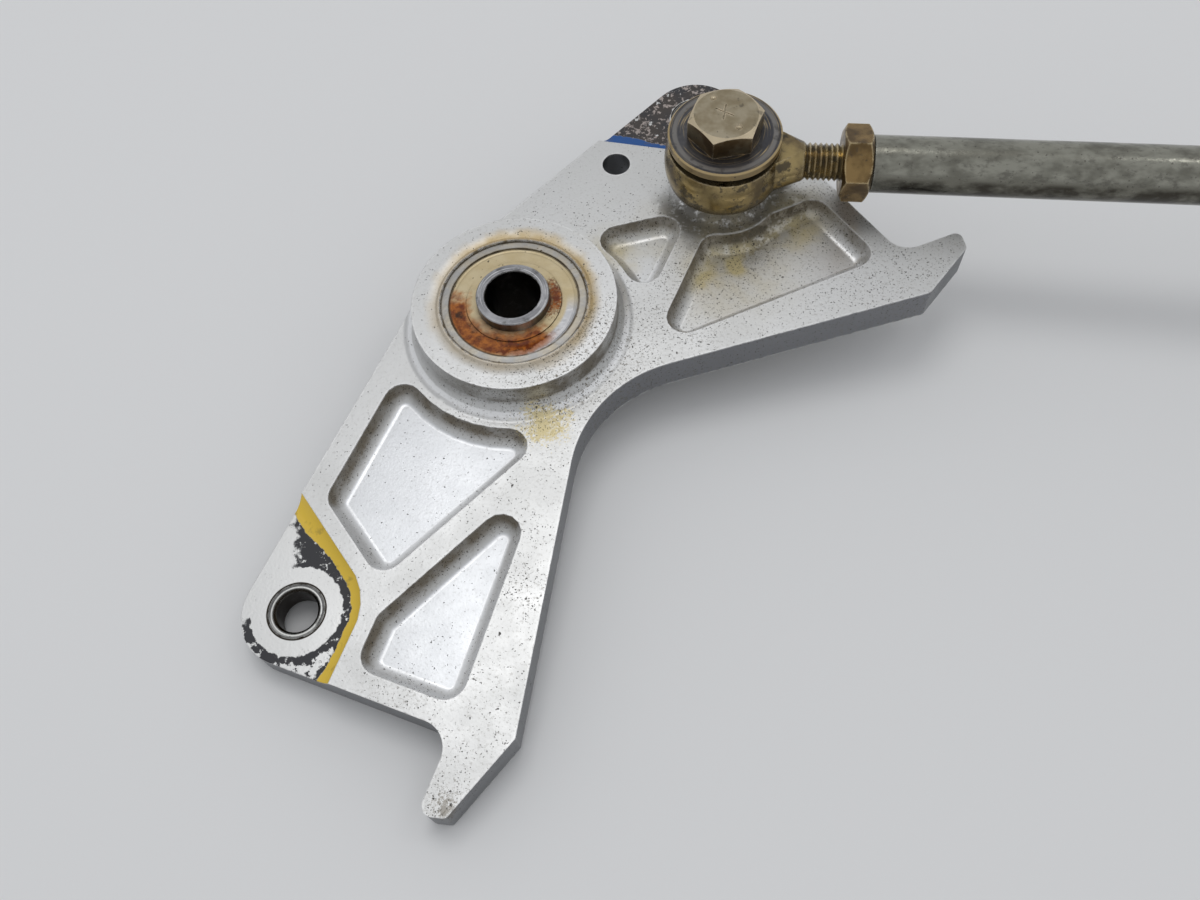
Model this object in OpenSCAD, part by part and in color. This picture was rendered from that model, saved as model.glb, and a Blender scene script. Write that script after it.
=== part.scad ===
// Control bellcrank: a pocketed aluminium plate on a paired ball bearing, with two bushed
// cable lugs, two stop horns and a push rod on a spherical rod end.
// Millimetres. Z is the pivot axis, z = 0 is the flat underside of the plate,
// and the push rod lies along +X.

/* [Plate] */
// Thickness of the plate
plate_thick = 6.35; // [6:0.05:8]
// Height of the pivot boss above the underside
boss_height = 12.7; // [12.5:0.1:15]
// Outer diameter of the pivot boss
boss_d = 33.7; // [31:0.1:35]
// Radius of the plate's back edge around the pivot
hub_r = 18.3; // [17.6:0.1:20]
// Radius of the ball-ended cutter that makes pockets, steps and boss feet
cutter_r = 3.175; // [3.1:0.025:3.4]
// Depth of the lightening pockets
pocket_depth = 3.1; // [2:0.05:3.1]
// Radius of the pocket edges that follow the pivot boss
pocket_ring_r = 20.4; // [20:0.1:22]
// Radius of the inner corner between the two arms
elbow_r = 21.9; // [15:0.1:25]
// Reach of that corner from the pivot
elbow_reach = 17.3; // [16:0.1:20]
// Direction of that corner
elbow_angle = -42.3; // [-46:0.1:-38]
// Radius of the two stop notches
notch_r = 4.2; // [3:0.1:5]
// Reach of the rigging pin hole
rig_reach = 37.6; // [36:0.1:39]
// Direction of the rigging pin hole
rig_angle = 69.4; // [68:0.1:71]
// Diameter of the rigging pin hole
rig_d = 5; // [3:0.1:6]

/* [Lower arm] */
// Reach of the lower lug's bush
lug_a_reach = 58.9; // [57:0.1:62]
// Direction of the lower lug's bush
lug_a_angle = -116.9; // [-119:0.1:-115]
// Reach of the notch root
notch_a_reach = 68.4; // [67:0.1:70]
// Direction of the notch root
notch_a_angle = -90; // [-91:0.1:-89]
// Reach of the horn's tip
horn_a_reach = 80; // [78:0.1:84]
// Direction of the horn's inner corner
horn_a_in = -92.2; // [-93:0.1:-91.5]
// Direction of the horn's outer corner
horn_a_out = -89.3; // [-90:0.1:-88.5]
// Reach of the heel behind the horn
heel_a_reach = 69.2; // [68:0.1:72]
// Direction of the heel behind the horn
heel_a_angle = -82.6; // [-84:0.1:-82]
// Direction of the rib between the pockets
rib_a_angle = 49.7; // [48:0.1:51]
// Distance of that rib from the pivot
rib_a_offset = 21.5; // [21:0.1:22.5]
// Direction of the long side of the outer pocket
side_a_angle = 78.4; // [77:0.1:80]
// Distance of that side from the pivot
side_a_offset = 13.3; // [12.5:0.1:13.8]

/* [Upper arm] */
// Reach of the upper lug's bush
lug_b_reach = 55.6; // [54:0.1:58]
// Direction of the upper lug's bush
lug_b_angle = 61.2; // [59:0.1:63]
// Reach of the notch root
notch_b_reach = 66; // [65:0.1:67.5]
// Direction of the notch root
notch_b_angle = 15.9; // [15.2:0.1:16.6]
// Reach of the horn's tip
horn_b_reach = 77; // [75.5:0.1:80]
// Direction of the horn's outer corner
horn_b_out = 14.8; // [14.2:0.1:15.2]
// Direction of the horn's inner corner
horn_b_in = 17.5; // [17:0.1:18.2]
// Reach of the heel behind the horn
heel_b_reach = 68.8; // [67.5:0.1:71]
// Direction of the heel behind the horn
heel_b_angle = 8.4; // [7.6:0.1:9]
// Direction of the rib between the pockets
rib_b_angle = 72.5; // [71:0.1:74]
// Distance of that rib from the pivot
rib_b_offset = 20.6; // [20:0.1:21.5]
// Direction of the long side of the outer pocket
side_b_angle = 28.7; // [27.5:0.1:30]
// Distance of that side from the pivot
side_b_offset = 14.2; // [13.2:0.1:14.6]
// Distance of the inner pocket's upper side from the pivot
inner_top_offset = 15.3; // [14.5:0.1:16]
// Direction of the inner pocket's upper side
inner_top_angle = 18.9; // [17:0.1:21]
// Distance of the outer pocket's upper side from the pivot line, across its long side
outer_top_offset = 2.3; // [1.5:0.1:3]

/* [Lugs and ribs] */
// Thickness of the two lugs
lug_thick = 4.76; // [4:0.02:5.4]
// Outer radius of the lugs
lug_r = 8.4; // [7.6:0.1:9.5]
// Radius of the step in the top face around each bush
step_r = 10; // [9:0.1:11]
// Strip of full thickness between a step and the next pocket
step_land = 2.5; // [2:0.1:3]
// Width of the ribs between pockets
rib_w = 4; // [3:0.1:4.6]
// Width of the rim along the back edges
rim_back = 3.9; // [3:0.1:4.5]
// Width of the rim along the outer ends
rim_end = 3.4; // [2.6:0.1:4]
// Outer diameter of the lug bushes
bush_d = 8.7; // [8:0.1:10]

/* [Bearing] */
// Outer diameter of each ball bearing
bearing_d = 24; // [22:0.1:25]
// Width of each ball bearing
bearing_w = 6; // [5.6:0.05:6.2]
// Bore of each ball bearing
bearing_bore = 12; // [11:0.1:12.4]
// Ball diameter
ball_d = 3.2; // [2.8:0.05:3.4]
// Number of balls in each bearing
ball_n = 9; // [7:1:10]
// Bore of the pivot sleeve
pivot_bore = 9.1; // [8:0.05:10]
// Length of the sleeve beyond each bearing
sleeve_proud = 1.9; // [1:0.1:3]

/* [Push rod] */
// Reach of the rod bolt from the pivot
bolt_reach = 44.4; // [43.5:0.1:46]
// Direction of the rod bolt
bolt_angle = 43; // [42:0.1:44]
// Diameter of the bolts and rod end threads
bolt_d = 6.3; // [5.6:0.05:6.8]
// Size across the flats of bolt head and nuts
hex_af = 11.11; // [10.6:0.01:12]
// Diameter of the raised seat under the rod end
seat_d = 12.7; // [12:0.1:14]
// Height of that seat above the underside
seat_height = 9.5; // [9.2:0.05:10.5]
// Diameter of the rod end balls
rod_ball_d = 13.1; // [12.8:0.05:13.4]
// Width of the rod end balls
rod_ball_w = 9.5; // [9:0.05:10]
// Width of the rod end bodies
eye_w = 7.1; // [6.6:0.05:7.4]
// Diameter of the rod end eyes
eye_d = 20.2; // [19:0.1:22]
// Distance between the two rod end eyes
rod_length = 150; // [120:1:260]
// Outer diameter of the push rod tube
tube_d = 9.525; // [9:0.025:11]
// Distance from an eye to the end of the tube
tube_start = 24.6; // [24:0.1:30]
// Thickness of the jam nuts
jam_nut_h = 4.8; // [4:0.1:5.5]
// Diameter of the washer under the bolt head
washer_d = 19.1; // [18:0.1:20]
// Thickness of that washer
washer_h = 1.6; // [1.2:0.1:2]

/* [Hidden] */
$fn = 64;
fit = 0.01;
run = 0.03;
boss_r = boss_d / 2;
lug_a = pol(lug_a_reach, lug_a_angle);
lug_b = pol(lug_b_reach, lug_b_angle);
bolt = pol(bolt_reach, bolt_angle);
notch_a = pol(notch_a_reach, notch_a_angle);
horn_a = [pol(horn_a_reach, horn_a_in), pol(horn_a_reach, horn_a_out)];
heel_a = pol(heel_a_reach, heel_a_angle);
elbow = pol(elbow_reach, elbow_angle);
heel_b = pol(heel_b_reach, heel_b_angle);
horn_b = [pol(horn_b_reach, horn_b_out), pol(horn_b_reach, horn_b_in)];
notch_b = pol(notch_b_reach, notch_b_angle);
// Normals of the back edges, of the lug edges that run to the notches and of the two steps
back_a = lug_a_angle - acos((hub_r - lug_r) / lug_a_reach);
back_b = lug_b_angle + acos((hub_r - lug_r) / lug_b_reach);
end_a = dir(notch_a - lug_a) - acos(lug_r / norm(notch_a - lug_a));
end_b = dir(notch_b - lug_b) + acos(lug_r / norm(notch_b - lug_b));
step_a = [41.5, -13.7];
step_b = [-41.3, -96.8];
// Steps in the milled corners and walls, slope where a wall meets its floor, bends of a lug step
corner_steps = 6;
step_bends = 4;
floor_steps = 6;
floor_angle = 78;
sleeve_chamfer = 0.15;
bearing_recess = (boss_height - 2 * bearing_w) / 2;
race_r = (bearing_d + bearing_bore) / 4;
eye_z = seat_height + rod_ball_w / 2;
hex_r = hex_af / 2 / cos(30);
thread_d = bolt_d - 0.1;
thread_pitch = 0.907;
thread_depth = 0.45;
head_h = 4;
nut_h = 8;
collar_h = 2.4;
nut_washer_h = 1.6;
shank_end = tube_start + 16;
race_outer_r = rod_ball_d / 2 + 1.3;

function pol(r, a) = [r * cos(a), r * sin(a)];
function dir(v) = atan2(v[1], v[0]);
// Where two lines meet, each given by its normal's angle and its distance from the pivot
function meet(n1, d1, n2, d2) =
    [d1 * sin(n2) - d2 * sin(n1), d2 * cos(n1) - d1 * cos(n2)] / sin(n2 - n1);
// Where a line cuts a circle, ahead of (1) or behind (-1) the foot of the centre
function cut(n, d, c, r, side) = let (h = d - c * pol(1, n))
    c + pol(h, n) + pol(side * sqrt(r * r - h * h), n + 90);

// Points between two ends of an arc about c, in n steps the short way round
function arc(c, from, to, n) =
    let (sweep = ((dir(to - c) - dir(from - c) + 540) % 360) - 180)
    [for (i = [1:n - 1]) c + pol(norm(from - c), dir(from - c) + sweep * i / n)];

// The area between a sharp corner at v and an arc of radius r that rounds it
module spandrel(p0, v, p1, r) {
    a0 = dir(p0 - v);
    half = abs(((dir(p1 - v) - a0 + 540) % 360) - 180) / 2;
    turn = ((dir(p1 - v) - a0 + 540) % 360) - 180 > 0 ? 1 : -1;
    c = v + pol(r / sin(half), a0 + turn * half);
    t = r / tan(half);
    difference() {
        polygon([c, v + pol(t, a0), v + (v - c) * 0.02, v + pol(t, a0 + turn * 2 * half)]);
        translate(c) circle(r, $fn = 96);
    }
}

module outline() {
    difference() {
        union() {
            polygon([lug_a + pol(lug_r, end_a), notch_a, horn_a[0], horn_a[1], heel_a, elbow,
                heel_b, horn_b[0], horn_b[1], notch_b, lug_b + pol(lug_r, end_b),
                lug_b + pol(lug_r, back_b), pol(hub_r, back_b), pol(hub_r, back_a),
                lug_a + pol(lug_r, back_a)]);
            circle(hub_r, $fn = 128);
            translate(lug_a) circle(lug_r);
            translate(lug_b) circle(lug_r);
            spandrel(lug_a + pol(lug_r, end_a), notch_a, horn_a[0], notch_r);
            spandrel(lug_b + pol(lug_r, end_b), notch_b, horn_b[1], notch_r);
            spandrel(heel_a, elbow, heel_b, elbow_r);
        }
        spandrel(notch_a, horn_a[0], horn_a[1], 1.6);
        spandrel(horn_a[0], horn_a[1], heel_a, 0.9);
        spandrel(horn_a[1], heel_a, elbow, 0.6);
        spandrel(elbow, heel_b, horn_b[0], 0.6);
        spandrel(heel_b, horn_b[0], horn_b[1], 0.8);
        spandrel(horn_b[0], horn_b[1], notch_b, 1.2);
    }
}

// A corner of the cutter's path, moved out by r: rounded where the pocket's wall turns inwards
function round_corner(p0, p, p1, r) =
    let (a = dir(p - p0) - 90, turn = ((dir(p1 - p) - dir(p - p0) + 540) % 360) - 180)
    turn > 0 ? [for (i = [0:corner_steps]) p + pol(r, a + turn * i / corner_steps)]
        : [p + pol(r / cos(turn / 2), a + turn / 2)];
function wall_line(path, r) = let (n = len(path))
    [for (i = [0:n - 1]) each round_corner(path[(i + n - 1) % n], path[i], path[(i + 1) % n], r)];

// What a ball-ended cutter takes out of the top face down to depth, from the path of its centre
// and a point inside from which the whole wall can be seen
module milled(path, eye, depth) {
    first = asin(1 - depth / cutter_r);
    fall = depth / (sin(floor_angle) - sin(first));
    rings = [for (k = [0:floor_steps]) let (a = first + (floor_angle - first) * k / floor_steps)
        [cutter_r * cos(a), plate_thick - (k == 0 ? 0.05 : fall * (sin(a) - sin(first)))]];
    levels = concat([[cutter_r * cos(first), plate_thick + 1]], rings);
    n = len(wall_line(path, cutter_r));
    last = len(levels) - 1;
    lid = n * len(levels);
    polyhedron(points = concat(
            [for (l = levels) for (p = wall_line(path, l[0])) [p[0], p[1], l[1]]],
            [for (z = [levels[0][1], levels[last][1]]) [eye[0], eye[1], z]]),
        faces = concat([for (i = [0:n - 1]) [(i + 1) % n, i, lid]],
            [for (i = [0:n - 1]) [last * n + i, last * n + (i + 1) % n, lid + 1]],
            [for (k = [0:last - 1]) for (i = [0:n - 1]) [k * n + i, k * n + (i + 1) % n,
                (k + 1) * n + (i + 1) % n, (k + 1) * n + i]]));
}

// Lowers the top face on the lug's side of a step that bends around the bush at c
module lug_step(c, n) {
    depth = plate_thick - lug_thick;
    q = step_r - sqrt(depth * (2 * cutter_r - depth));
    turns = [for (k = [0:step_bends]) n[1] + (n[0] - n[1]) * k / step_bends];
    v = [for (k = [1:step_bends]) meet(turns[k - 1], c * pol(1, turns[k - 1]) + q,
        turns[k], c * pol(1, turns[k]) + q)];
    milled(concat([c + pol(60, (n[0] + n[1]) / 2 + 180), v[0] + pol(45, n[1] - 90)], v,
        [v[step_bends - 1] + pol(45, n[0] + 90)]), c, depth);
}

// Lower arm, inner pocket: back edge, step, rib and the ring around the boss
module pocket_a() {
    back = hub_r - rim_back - cutter_r;
    step = lug_a * pol(1, step_a[0]) + step_r + step_land + cutter_r;
    rib = -rib_a_offset + rib_w / 2 + cutter_r;
    ring = pocket_ring_r + cutter_r;
    right = cut(rib_a_angle + 90, rib, [0, 0], ring, 1);
    left = cut(back_a, back, [0, 0], ring, 1);
    v = [left, meet(back_a, back, step_a[0], step), meet(step_a[0], step, rib_a_angle + 90, rib),
        right];
    milled(concat(v, arc([0, 0], right, left, 6)), (v[0] + v[1] + v[2] + v[3]) / 4, pocket_depth);
}

// Lower arm, outer pocket: rib, long side, end edge and step
module pocket_b() {
    rib = -rib_a_offset - rib_w / 2 - cutter_r;
    side = side_a_offset - cutter_r;
    end = lug_a * pol(1, end_a) + lug_r - rim_end - cutter_r;
    step = lug_a * pol(1, step_a[1]) + step_r + step_land + cutter_r;
    v = [meet(rib_a_angle + 90, rib, side_a_angle - 90, side),
        meet(rib_a_angle + 90, rib, step_a[1], step), meet(step_a[1], step, end_a, end),
        meet(end_a, end, side_a_angle - 90, side)];
    milled(v, (v[0] + v[1] + v[2] + v[3]) / 4, pocket_depth);
}

// Upper arm, inner pocket: upper side, rib and the ring around the boss
module pocket_c() {
    top = inner_top_offset - cutter_r;
    rib = rib_b_offset - rib_w / 2 - cutter_r;
    ring = pocket_ring_r + cutter_r;
    upper = cut(inner_top_angle + 90, top, [0, 0], ring, -1);
    lower = cut(rib_b_angle - 90, rib, [0, 0], ring, 1);
    tip = meet(inner_top_angle + 90, top, rib_b_angle - 90, rib);
    milled(concat([lower, tip, upper], arc([0, 0], upper, lower, 4)),
        tip * 0.5 + (upper + lower) * 0.25, pocket_depth);
}

// Upper arm, outer pocket: rib, long side, end edge, upper side and the ring around the seat
module pocket_d() {
    rib = rib_b_offset + rib_w / 2 + cutter_r;
    side = side_b_offset - cutter_r;
    end = lug_b * pol(1, end_b) + lug_r - rim_end - cutter_r;
    top = outer_top_offset - cutter_r;
    ring = seat_d / 2 + cutter_r + 0.5 + cutter_r;
    near = cut(rib_b_angle - 90, rib, bolt, ring, -1);
    far = cut(side_b_angle + 90, top, bolt, ring, -1);
    milled(concat([near, meet(rib_b_angle - 90, rib, side_b_angle - 90, side),
        meet(side_b_angle - 90, side, end_b, end), meet(end_b, end, side_b_angle + 90, top),
        far], arc(bolt, far, near, 7)),
        bolt + pol(ring * 1.55, (dir(near - bolt) + dir(far - bolt)) / 2), pocket_depth);
}

// A round boss of radius r and height h with the cutter's radius at its foot
module boss(r, h) {
    rotate_extrude($fn = 128) {
        square([r, h]);
        difference() {
            square([r + cutter_r, plate_thick + 0.9 * cutter_r]);
            translate([r + cutter_r - 0.05, plate_thick + cutter_r - 0.03]) circle(cutter_r);
        }
    }
}

module crank_plate() {
    color("silver") difference() {
        union() {
            difference() {
                linear_extrude(plate_thick) outline();
                lug_step(lug_a, step_a);
                lug_step(lug_b, step_b);
                pocket_a();
                pocket_b();
                pocket_c();
                pocket_d();
            }
            intersection() {
                union() {
                    boss(boss_r, boss_height);
                    translate(bolt) boss(seat_d / 2, seat_height);
                }
                linear_extrude(boss_height + 1) outline();
            }
        }
        translate([0, 0, -1]) cylinder(d = bearing_d + 2 * fit, h = boss_height + 2, $fn = 128);
        boss_dish();
        translate([lug_a[0], lug_a[1], -1]) cylinder(d = bush_d + 2 * fit, h = boss_height);
        translate([lug_b[0], lug_b[1], -1]) cylinder(d = bush_d + 2 * fit, h = boss_height);
        translate([bolt[0], bolt[1], -1]) cylinder(d = bolt_d + 2 * run, h = boss_height + 2);
        rig = pol(rig_reach, rig_angle);
        translate([rig[0], rig[1], -1]) cylinder(d = rig_d, h = boss_height);
    }
}

// Shallow rolled groove in the boss face that leaves a thin lip against the bearing
module boss_dish() {
    translate([0, 0, boss_height]) rotate_extrude($fn = 128)
        polygon([[bearing_d / 2 + 0.45, 0.01], [bearing_d / 2 + 0.9, -0.35],
            [boss_r - 2.3, 0.01]]);
    translate([0, 0, boss_height]) rotate_extrude($fn = 128)
        polygon([[bearing_d / 2 - 1, 1], [bearing_d / 2 - 1, -0.15], [bearing_d / 2, -0.15],
            [bearing_d / 2 + 0.3, 0.15], [bearing_d / 2 + 0.3, 1]]);
}

// One ball bearing about its own middle plane, with the shield on its +Z side
module bearing_outer_ring() {
    color("gray") rotate_extrude($fn = 128) difference() {
        translate([race_r + ball_d / 2 - 0.4, -bearing_w / 2])
            square([bearing_d / 2 - race_r - ball_d / 2 + 0.4, bearing_w]);
        translate([race_r, 0]) circle(ball_d / 2 + run);
        translate([race_r, bearing_w / 2 - 0.6]) square([ball_d / 2 + 0.1, 1]);
    }
}
module bearing_inner_ring() {
    color("gray") rotate_extrude($fn = 128) difference() {
        translate([bearing_bore / 2, -bearing_w / 2])
            square([race_r - ball_d / 2 + 0.4 - bearing_bore / 2, bearing_w]);
        translate([race_r, 0]) circle(ball_d / 2 + run);
    }
}
module bearing_balls() {
    color("lightgray") for (i = [0:ball_n - 1])
        rotate([0, 0, i * 360 / ball_n]) translate([race_r, 0, 0]) sphere(d = ball_d);
}
module bearing_cage() {
    color("tan") difference() {
        rotate_extrude($fn = 128) translate([race_r - 0.4, -ball_d / 2 - 0.45])
            square([0.8, ball_d + 0.9]);
        for (i = [0:ball_n - 1]) rotate([0, 90, i * 360 / ball_n])
            translate([0, 0, race_r - 2]) cylinder(d = ball_d + 0.1, h = 4);
    }
}
module bearing_shield() {
    color("tan") rotate_extrude($fn = 128) {
        translate([race_r - ball_d / 2 + 0.75, bearing_w / 2 - 0.55])
            square([ball_d - 0.65 - fit, 0.35]);
    }
}
upper_z = boss_height - bearing_recess - bearing_w / 2;
lower_z = bearing_recess + bearing_w / 2;
module upper_bearing_outer_ring() { translate([0, 0, upper_z]) bearing_outer_ring(); }
module upper_bearing_inner_ring() { translate([0, 0, upper_z]) bearing_inner_ring(); }
module upper_bearing_balls() { translate([0, 0, upper_z]) bearing_balls(); }
module upper_bearing_cage() { translate([0, 0, upper_z]) bearing_cage(); }
module upper_bearing_shield() { translate([0, 0, upper_z]) bearing_shield(); }
module lower_bearing_outer_ring() { translate([0, 0, lower_z]) rotate([180, 0, 0]) bearing_outer_ring(); }
module lower_bearing_inner_ring() { translate([0, 0, lower_z]) rotate([180, 0, 0]) bearing_inner_ring(); }
module lower_bearing_balls() { translate([0, 0, lower_z]) rotate([180, 0, 0]) bearing_balls(); }
module lower_bearing_cage() { translate([0, 0, lower_z]) rotate([180, 0, 0]) bearing_cage(); }
module lower_bearing_shield() { translate([0, 0, lower_z]) rotate([180, 0, 0]) bearing_shield(); }

module pivot_sleeve() {
    length = 2 * bearing_w + 2 * sleeve_proud;
    r = bearing_bore / 2 - fit;
    color("dimgray") translate([0, 0, boss_height / 2]) rotate_extrude($fn = 96)
        polygon([for (side = [-1, 1]) each [
            [side < 0 ? pivot_bore / 2 : r, side * (length / 2 - sleeve_chamfer)],
            [side < 0 ? pivot_bore / 2 + sleeve_chamfer : r - sleeve_chamfer, side * length / 2],
            [side < 0 ? r - sleeve_chamfer : pivot_bore / 2 + sleeve_chamfer, side * length / 2],
            [side < 0 ? r : pivot_bore / 2, side * (length / 2 - sleeve_chamfer)]]]);
}

module lug_bush(c) {
    color("dimgray") translate([c[0], c[1], 0]) rotate_extrude()
        polygon([[bolt_d / 2 + 0.025, 0.4], [bolt_d / 2 + 0.4, 0], [bush_d / 2, 0],
            [bush_d / 2, lug_thick], [bolt_d / 2 + 0.4, lug_thick],
            [bolt_d / 2 + 0.025, lug_thick - 0.4]]);
}
module lower_lug_bush() { lug_bush(lug_a); }
module upper_lug_bush() { lug_bush(lug_b); }

// A hexagon of height h with its corners turned off at the top, and at the foot if both is set
module hex(h, both) {
    intersection() {
        rotate([0, 0, 30]) cylinder(r = hex_r, h = h, $fn = 6);
        rotate_extrude() polygon([[0, 0], [both ? hex_af / 2 - 0.2 : hex_r + 1, 0],
            [both ? hex_r : hex_r + 1, both ? 0.6 : 0.01], [hex_r, h - 0.65],
            [hex_af / 2 - 0.25, h], [0, h]]);
    }
}

module rod_bolt() {
    color("darkkhaki") translate([bolt[0], bolt[1], seat_height + rod_ball_w + washer_h]) {
        rotate([0, 0, 44]) hex(head_h, false);
        grip = seat_height + rod_ball_w + washer_h + nut_washer_h;
        translate([0, 0, -grip]) cylinder(d = bolt_d, h = grip + 0.1);
        translate([0, 0, -grip - nut_h - 0.6]) cylinder(d = thread_d, h = nut_h + 0.7);
        translate([0, 0, -grip - nut_h - 1.2]) cylinder(d1 = thread_d - 1.2, d2 = thread_d, h = 0.6);
    }
}

// The large washer keeps the eye on the bolt if its ball should fail
module head_washer() {
    color("gray") translate([bolt[0], bolt[1], seat_height + rod_ball_w]) rotate_extrude($fn = 96)
        polygon([[bolt_d / 2 + 0.15, 0], [washer_d / 2 - 0.25, 0], [washer_d / 2, 0.25],
            [washer_d / 2, washer_h - 0.25], [washer_d / 2 - 0.25, washer_h],
            [bolt_d / 2 + 0.15, washer_h]]);
}

module nut_washer() {
    color("gray") translate([bolt[0], bolt[1], -nut_washer_h]) difference() {
        cylinder(d = bolt_d + 6.4, h = nut_washer_h);
        translate([0, 0, -1]) cylinder(d = bolt_d + 0.3, h = 4);
    }
}

module lock_nut() {
    color("darkkhaki") translate([bolt[0], bolt[1], -nut_washer_h]) rotate([180, 0, 0])
        difference() {
            union() {
                hex(nut_h - collar_h, true);
                cylinder(d = hex_af - 1, h = nut_h);
            }
            translate([0, 0, -1]) cylinder(d = thread_d + 2 * fit, h = nut_h + 2);
            translate([0, 0, nut_h - collar_h]) cylinder(d = hex_af - 2.4, h = collar_h - 0.4);
        }
}

module lock_nut_insert() {
    color("ivory") translate([bolt[0], bolt[1], -nut_washer_h - nut_h + 0.4 + fit]) difference() {
        cylinder(d = hex_af - 2.4 - 2 * fit, h = collar_h - 0.4 - 2 * fit);
        translate([0, 0, -1]) cylinder(d = thread_d + 2 * fit, h = 4);
    }
}

// The shank, with thread ridges where it shows between the eye and the jam nut
module eye_shank() {
    r = bolt_d / 2;
    from = eye_d / 2 + 3.4;
    n = ceil((tube_start - jam_nut_h - from) / thread_pitch);
    rotate([0, 90, 0]) rotate_extrude() polygon(concat(
        [[0, eye_d / 2 - 1], [r, eye_d / 2 - 1]],
        [for (i = [0:n - 1]) each [[r, from + i * thread_pitch],
            [r - thread_depth, from + (i + 0.5) * thread_pitch]]],
        [[r, from + n * thread_pitch], [r, shank_end], [0, shank_end]]));
}

// A rod end about the middle of its eye, with its shank along +X
module eye_body() {
    color("goldenrod") difference() {
        union() {
            intersection() {
                sphere(d = eye_d, $fn = 96);
                cube([40, 40, eye_w], center = true);
            }
            intersection() {
                translate([eye_d / 2 - 4.5, 0, 0]) rotate([0, 90, 0])
                    cylinder(r1 = 6.4, r2 = bolt_d / 2 + 0.1, h = 7.8);
                cube([60, 40, eye_w - 0.2], center = true);
            }
            eye_shank();
        }
        cylinder(r = race_outer_r + fit, h = eye_w + 2, center = true, $fn = 96);
    }
}
module eye_race() {
    color("gray") difference() {
        cylinder(r = race_outer_r, h = eye_w - 0.3, center = true, $fn = 96);
        sphere(r = rod_ball_d / 2 + run, $fn = 96);
    }
}
module eye_ball() {
    color("lightgray") difference() {
        intersection() {
            sphere(d = rod_ball_d, $fn = 96);
            cube([40, 40, rod_ball_w - 2 * run], center = true);
        }
        cylinder(d = bolt_d + 2 * run, h = rod_ball_w + 2, center = true);
    }
}
module jam_nut() {
    color("goldenrod") translate([tube_start - jam_nut_h, 0, 0]) rotate([0, 90, 0]) difference() {
        rotate([0, 0, 43]) hex(jam_nut_h, true);
        translate([0, 0, -1]) cylinder(d = bolt_d + 2 * fit, h = jam_nut_h + 2);
    }
}
module at_near() { translate([bolt[0], bolt[1], eye_z]) children(); }
module at_far() { translate([bolt[0] + rod_length, bolt[1], eye_z]) rotate([0, 0, 180]) children(); }
module near_rod_end_body() { at_near() eye_body(); }
module near_rod_end_race() { at_near() eye_race(); }
module near_rod_end_ball() { at_near() eye_ball(); }
module near_jam_nut() { at_near() jam_nut(); }
module far_rod_end_body() { at_far() eye_body(); }
module far_rod_end_race() { at_far() eye_race(); }
module far_rod_end_ball() { at_far() eye_ball(); }
module far_jam_nut() { at_far() jam_nut(); }

module push_rod_tube() {
    length = rod_length - 2 * tube_start;
    color("darkgray") at_near() translate([tube_start, 0, 0]) rotate([0, 90, 0]) rotate_extrude()
        polygon([[bolt_d / 2 + fit, 0], [tube_d / 2 - 0.3, 0], [tube_d / 2, 0.3],
            [tube_d / 2, length - 0.3], [tube_d / 2 - 0.3, length], [bolt_d / 2 + fit, length]]);
}

crank_plate();
upper_bearing_outer_ring();
upper_bearing_inner_ring();
upper_bearing_balls();
upper_bearing_cage();
upper_bearing_shield();
lower_bearing_outer_ring();
lower_bearing_inner_ring();
lower_bearing_balls();
lower_bearing_cage();
lower_bearing_shield();
pivot_sleeve();
lower_lug_bush();
upper_lug_bush();
rod_bolt();
head_washer();
nut_washer();
lock_nut();
lock_nut_insert();
near_rod_end_body();
near_rod_end_race();
near_rod_end_ball();
near_jam_nut();
push_rod_tube();
far_jam_nut();
far_rod_end_body();
far_rod_end_race();
far_rod_end_ball();
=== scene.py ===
import math

import bmesh
import bpy
from mathutils import Matrix, Vector
from mathutils import noise as noiseTool


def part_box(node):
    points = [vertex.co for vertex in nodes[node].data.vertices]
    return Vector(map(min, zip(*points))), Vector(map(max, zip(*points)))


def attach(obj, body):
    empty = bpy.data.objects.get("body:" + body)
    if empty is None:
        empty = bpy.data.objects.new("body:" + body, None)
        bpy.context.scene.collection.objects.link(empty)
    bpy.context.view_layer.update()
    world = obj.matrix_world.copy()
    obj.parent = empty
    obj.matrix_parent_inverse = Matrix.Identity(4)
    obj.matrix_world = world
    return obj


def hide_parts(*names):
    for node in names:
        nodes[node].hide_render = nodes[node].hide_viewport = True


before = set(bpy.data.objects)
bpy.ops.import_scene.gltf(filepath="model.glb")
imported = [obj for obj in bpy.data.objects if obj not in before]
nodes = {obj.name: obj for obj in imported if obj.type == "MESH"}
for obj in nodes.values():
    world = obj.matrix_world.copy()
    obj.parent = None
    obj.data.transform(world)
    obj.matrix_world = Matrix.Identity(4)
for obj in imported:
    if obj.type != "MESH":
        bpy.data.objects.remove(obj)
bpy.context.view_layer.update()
mm = 0.001
print("frame loaded:", len(nodes), "nodes")


def middleOf(nodeName):
    low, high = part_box(nodeName)
    return (low + high) / 2


lowerLug = middleOf("lower_lug_bush")
upperLug = middleOf("upper_lug_bush")
boltAxis = middleOf("head_washer")
sleeveAxis = Vector((0, 0, 0))


# small helpers for shader trees
def addNode(tree, kind, inputs=None, **settings):
    made = tree.nodes.new(kind)
    for key, value in settings.items():
        setattr(made, key, value)
    for key, value in (inputs or {}).items():
        if isinstance(value, bpy.types.NodeSocket):
            tree.links.new(value, made.inputs[key])
        else:
            made.inputs[key].default_value = value
    return made


def calc(tree, operation, a, b=0.0, clamp=False):
    return addNode(tree, "ShaderNodeMath", {0: a, 1: b}, operation=operation, use_clamp=clamp).outputs[0]


def times(tree, a, b, clamp=False):
    return calc(tree, "MULTIPLY", a, b, clamp)


def plus(tree, a, b, clamp=False):
    return calc(tree, "ADD", a, b, clamp)


def minus(tree, a, b):
    return calc(tree, "SUBTRACT", a, b)


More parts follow.
